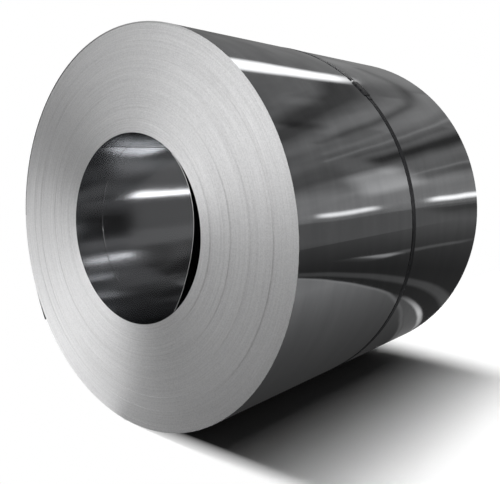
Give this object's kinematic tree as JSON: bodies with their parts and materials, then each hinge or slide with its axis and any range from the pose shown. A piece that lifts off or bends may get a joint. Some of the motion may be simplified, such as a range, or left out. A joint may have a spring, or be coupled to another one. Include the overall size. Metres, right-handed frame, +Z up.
{
  "type": "steel coil",
  "caption": "Wound steel strip coil lying on its side, with an open round eye through it, stepped lap edges on both ends, a loose outer tail and one crimped strap round its middle.",
  "frame": {"origin": "on the floor under the middle of the coil, at the bottom centre of the bounding box", "axes": "+Y along the eye from the front end to the back end, +Z up, +X to the right seen from the front end"},
  "size_m": [1.0698, 1, 1.0698],
  "materials": {
    "rolled_steel": "bright cold-rolled, with a blurred mirror look along the strip and fine lap edges on the ends",
    "strap_steel": "dark oxide, satin",
    "seal_steel": "dark steel, satin, worn bright along its edges"
  },
  "bodies": {
    "root": {"coil": "rolled_steel", "strap": "strap_steel", "strap_seal": "seal_steel"}
  },
  "joints": []
}
